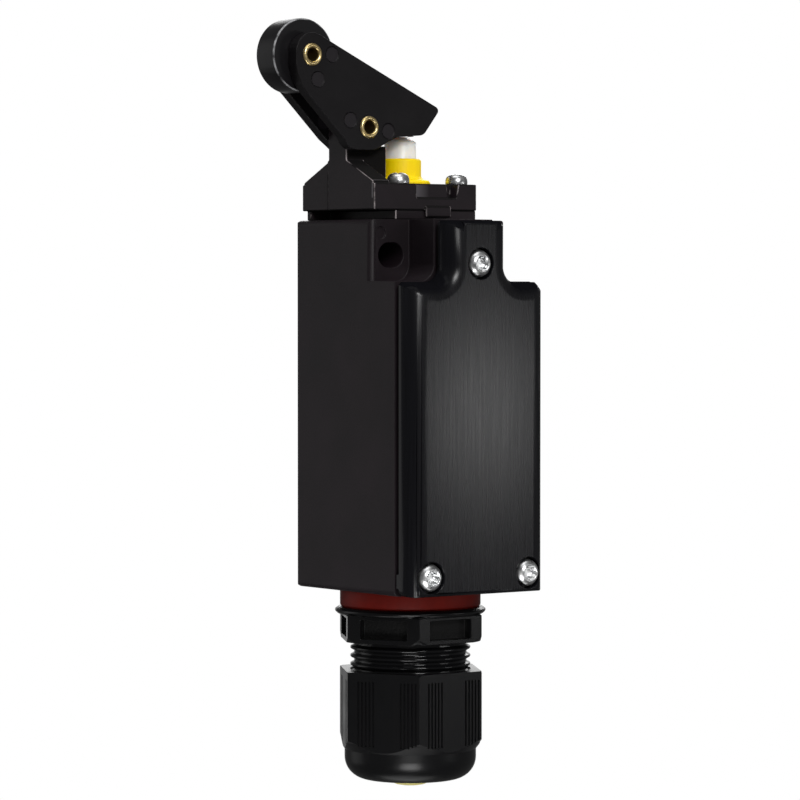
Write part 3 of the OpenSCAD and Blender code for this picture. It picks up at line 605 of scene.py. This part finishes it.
# Gland nut. Moulded in black nylon in a polished tool and screwed on the gland body. It is glossy,
# with a faint waviness where the thick wall sank.
nylon, tree, place = new_material("black nylon, polished tool")
sink = add(tree, "TexNoise", {"Vector": place, "Scale": per(4), "Detail": 2})
rough = add(
    tree,
    "MapRange",
    {"Value": sink, "From Min": 0.3, "From Max": 0.7, "To Min": 0.28, "To Max": 0.34},
)
bump = add(tree, "Bump", {"Height": sink, "Strength": 0.1, "Distance": 0.0001})
shader = add(
    tree,
    "BsdfPrincipled",
    {
        "Base Color": linear("#0a0a0b"),
        "Roughness": rough,
        "Specular IOR Level": 0.2,
        "IOR": 1.53,
        "Normal": bump,
    },
)
add(tree, "OutputMaterial", {"Surface": shader})
dress(nylon, ["gland_nut"])

# Gland body. The same nylon, with a hexagon between two threads, screwed in the floor of the body.
# The lower thread is the glossiest. The floors of the windows in the hexagon were left as eroded:
# matt and pitted, with the pits drawn coarser than real ones so that they show. They are also coloured
# darker.
windowed_nylon, tree, place = new_material("black nylon, polished with eroded windows")
gland_low, gland_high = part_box("gland_body")
gland_axis = ((gland_low.x + gland_high.x) / 2, (gland_low.y + gland_high.y) / 2, 0)
window_radius = 0.01175
window_rim = 0.01185
window_middle = -0.0662
window_half_height = 0.0019
gloss_end = -0.0695
satin_start = -0.069
apart = add(tree, "SeparateXYZ", {"Vector": place})
plan = add(tree, "CombineXYZ", {"X": apart.outputs["X"], "Y": apart.outputs["Y"]})
off = add(tree, "VectorMath", {0: plan, 1: gland_axis}, operation="DISTANCE")
deep = add(
    tree,
    "MapRange",
    {"Value": off, "From Min": window_radius, "From Max": window_rim, "To Min": 1, "To Max": 0},
)
level = add(
    tree,
    "Math",
    {0: apart.outputs["Z"], 1: window_middle, 2: window_half_height},
    operation="COMPARE",
)
window = add(tree, "Math", {0: deep, 1: level}, operation="MULTIPLY")
colour = add(
    tree,
    "Mix",
    {"Factor": window, "A": linear("#0a0a0b"), "B": linear("#040404")},
    data_type="RGBA",
)
polish = add(
    tree,
    "MapRange",
    {
        "Value": apart.outputs["Z"],
        "From Min": gloss_end,
        "From Max": satin_start,
        "To Min": 0.13,
        "To Max": 0.23,
    },
)
rough = add(tree, "Math", {0: window, 1: coarseness, 2: polish}, operation="MULTIPLY_ADD")
pits = add(tree, "TexNoise", {"Vector": place, "Scale": per(0.45), "Detail": 3})
bump = add(tree, "Bump", {"Height": pits, "Strength": window, "Distance": 0.0001})
shader = add(
    tree,
    "BsdfPrincipled",
    {"Base Color": colour, "Roughness": rough, "Specular IOR Level": 0.25, "IOR": 1.53, "Normal": bump},
)
add(tree, "OutputMaterial", {"Surface": shader})
dress(windowed_nylon, ["gland_body"], edge=0.12)

# Dust plug. A cup moulded in pale yellow polyethylene and pushed in the cable hole of the gland. It
# is soft and waxy, and lets a little light in.
polyethylene, tree, place = new_material("pale yellow polyethylene, moulded")
cast = add(tree, "TexNoise", {"Vector": place, "Scale": per(2.5), "Detail": 3})
colour = add(
    tree,
    "Mix",
    {"Factor": cast, "A": linear("#dccf78"), "B": linear("#ece08e")},
    data_type="RGBA",
)
shader = add(
    tree,
    "BsdfPrincipled",
    {
        "Base Color": colour,
        "Roughness": 0.42,
        "IOR": 1.5,
        "Subsurface Weight": 0.2,
        "Subsurface Radius": (0.8, 0.7, 0.3),
        "Subsurface Scale": 0.001,
    },
)
add(tree, "OutputMaterial", {"Surface": shader})
dress(polyethylene, ["dust_plug"], edge=0.1)

# Studio lamps. A small softbox that the cover mirrors, a key softbox high in front, a tall strip
# behind on the left, a softbox behind on the right, one overhead, and a small card close to the
# gland's dome. Sizes are in metres and powers in watts.
middle = (0, -0.015, -0.03)
dome = (0, -0.0144, -0.1)
for name, position, target, width, length, power in (
    ("front softbox", (0.37, -0.51, -0.045), middle, 0.17, 0.06, 0.19),
    ("key softbox", (-0.27, -0.97, 0.5), middle, 0.3, 0.3, 6.5),
    ("side strip", (-0.55, 0.75, 0.05), middle, 0.5, 0.9, 0.75),
    ("back softbox", (0.5, 0.6, 0.35), middle, 0.5, 0.5, 2.5),
    ("top softbox", (-0.1, -0.1, 0.8), middle, 0.6, 0.6, 2),
    ("low card", (-0.067, -0.105, -0.143), dome, 0.06, 0.06, 0.1),
):
    lamp_data = bpy.data.lights.new(name, "AREA")
    lamp_data.shape = "RECTANGLE"
    lamp_data.size = width
    lamp_data.size_y = length
    lamp_data.energy = power
    lamp = bpy.data.objects.new(name, lamp_data)
    lamp.location = position
    lamp.rotation_euler = (Vector(target) - Vector(position)).to_track_quat("-Z", "Y").to_euler()
    bpy.context.scene.collection.objects.link(lamp)

# Floor. A sheet of white paper half a metre below the part, so low that the gland's dome hardly
# mirrors it. Where it is looked at or mirrored it also glows, so that it looks white.
paper, tree, place = new_material("white paper floor")
white = linear("#ffffff")
glow_strength = 0.5
sheet = add(tree, "BsdfDiffuse", {"Color": linear("#f4f4f4")})
path = add(tree, "LightPath")
seen = add(
    tree,
    "Math",
    {0: path.outputs["Is Camera Ray"], 1: path.outputs["Is Glossy Ray"]},
    operation="MAXIMUM",
)
seen = add(tree, "Math", {0: seen, 1: path.outputs["Is Transmission Ray"]}, operation="MAXIMUM")
share = add(tree, "Math", {0: seen, 1: glow_strength}, operation="MULTIPLY")
glow = add(tree, "Emission", {"Color": white, "Strength": share})
both = add(tree, "AddShader", {0: sheet, 1: glow})
add(tree, "OutputMaterial", {"Surface": both})
reach = 0.17
floor_x, floor_y = 0.02, 0.06
floor_drop = 0.5
floor_z = cad_box[0].z - floor_drop
corners = [
    (floor_x + x, floor_y + y, floor_z)
    for x, y in ((-reach, -reach), (reach, -reach), (reach, reach), (-reach, reach))
]
floor_mesh = bpy.data.meshes.new("floor")
floor_mesh.from_pydata(corners, [], [(0, 1, 2, 3)])
floor_mesh.materials.append(paper)
floor = bpy.data.objects.new("floor", floor_mesh)
bpy.context.scene.collection.objects.link(floor)

# Room. Pale above and dark grey below for the light that it gives, and white where it is looked at.
# What shines mirrors a white sweep straight behind the part and a dim room elsewhere.
world = bpy.data.worlds.new("studio")
bpy.context.scene.world = world
world.use_nodes = True
tree = world.node_tree
tree.nodes.clear()
path = add(tree, "LightPath")
mirrored = add(
    tree,
    "Math",
    {0: path.outputs["Is Glossy Ray"], 1: path.outputs["Is Transmission Ray"]},
    operation="MAXIMUM",
)
straight_behind = (0.594, 0.804, 0)
direction = add(tree, "TexCoord").outputs["Generated"]
behind = add(tree, "VectorMath", {0: direction, 1: straight_behind}, operation="DOT_PRODUCT")
sweep = add(
    tree,
    "MapRange",
    {"Value": behind, "From Min": 0.93, "From Max": 1, "To Min": 0.1, "To Max": 1},
)
upward = add(tree, "SeparateXYZ", {"Vector": direction}).outputs["Z"]
ceiling = add(
    tree,
    "MapRange",
    {"Value": upward, "From Min": -0.6, "From Max": 0.6, "To Min": 0.15, "To Max": 0.9},
)
room = add(tree, "Background", {"Color": white, "Strength": ceiling})
reflected = add(tree, "Background", {"Color": white, "Strength": sweep})
backdrop = add(tree, "Background", {"Color": white, "Strength": 1})
lit = add(tree, "MixShader", {0: mirrored, 1: room, 2: reflected})
mixed = add(tree, "MixShader", {0: path.outputs["Is Camera Ray"], 1: lit, 2: backdrop})
add(tree, "OutputWorld", {"Surface": mixed})

bpy.context.scene.view_settings.view_transform = "Standard"
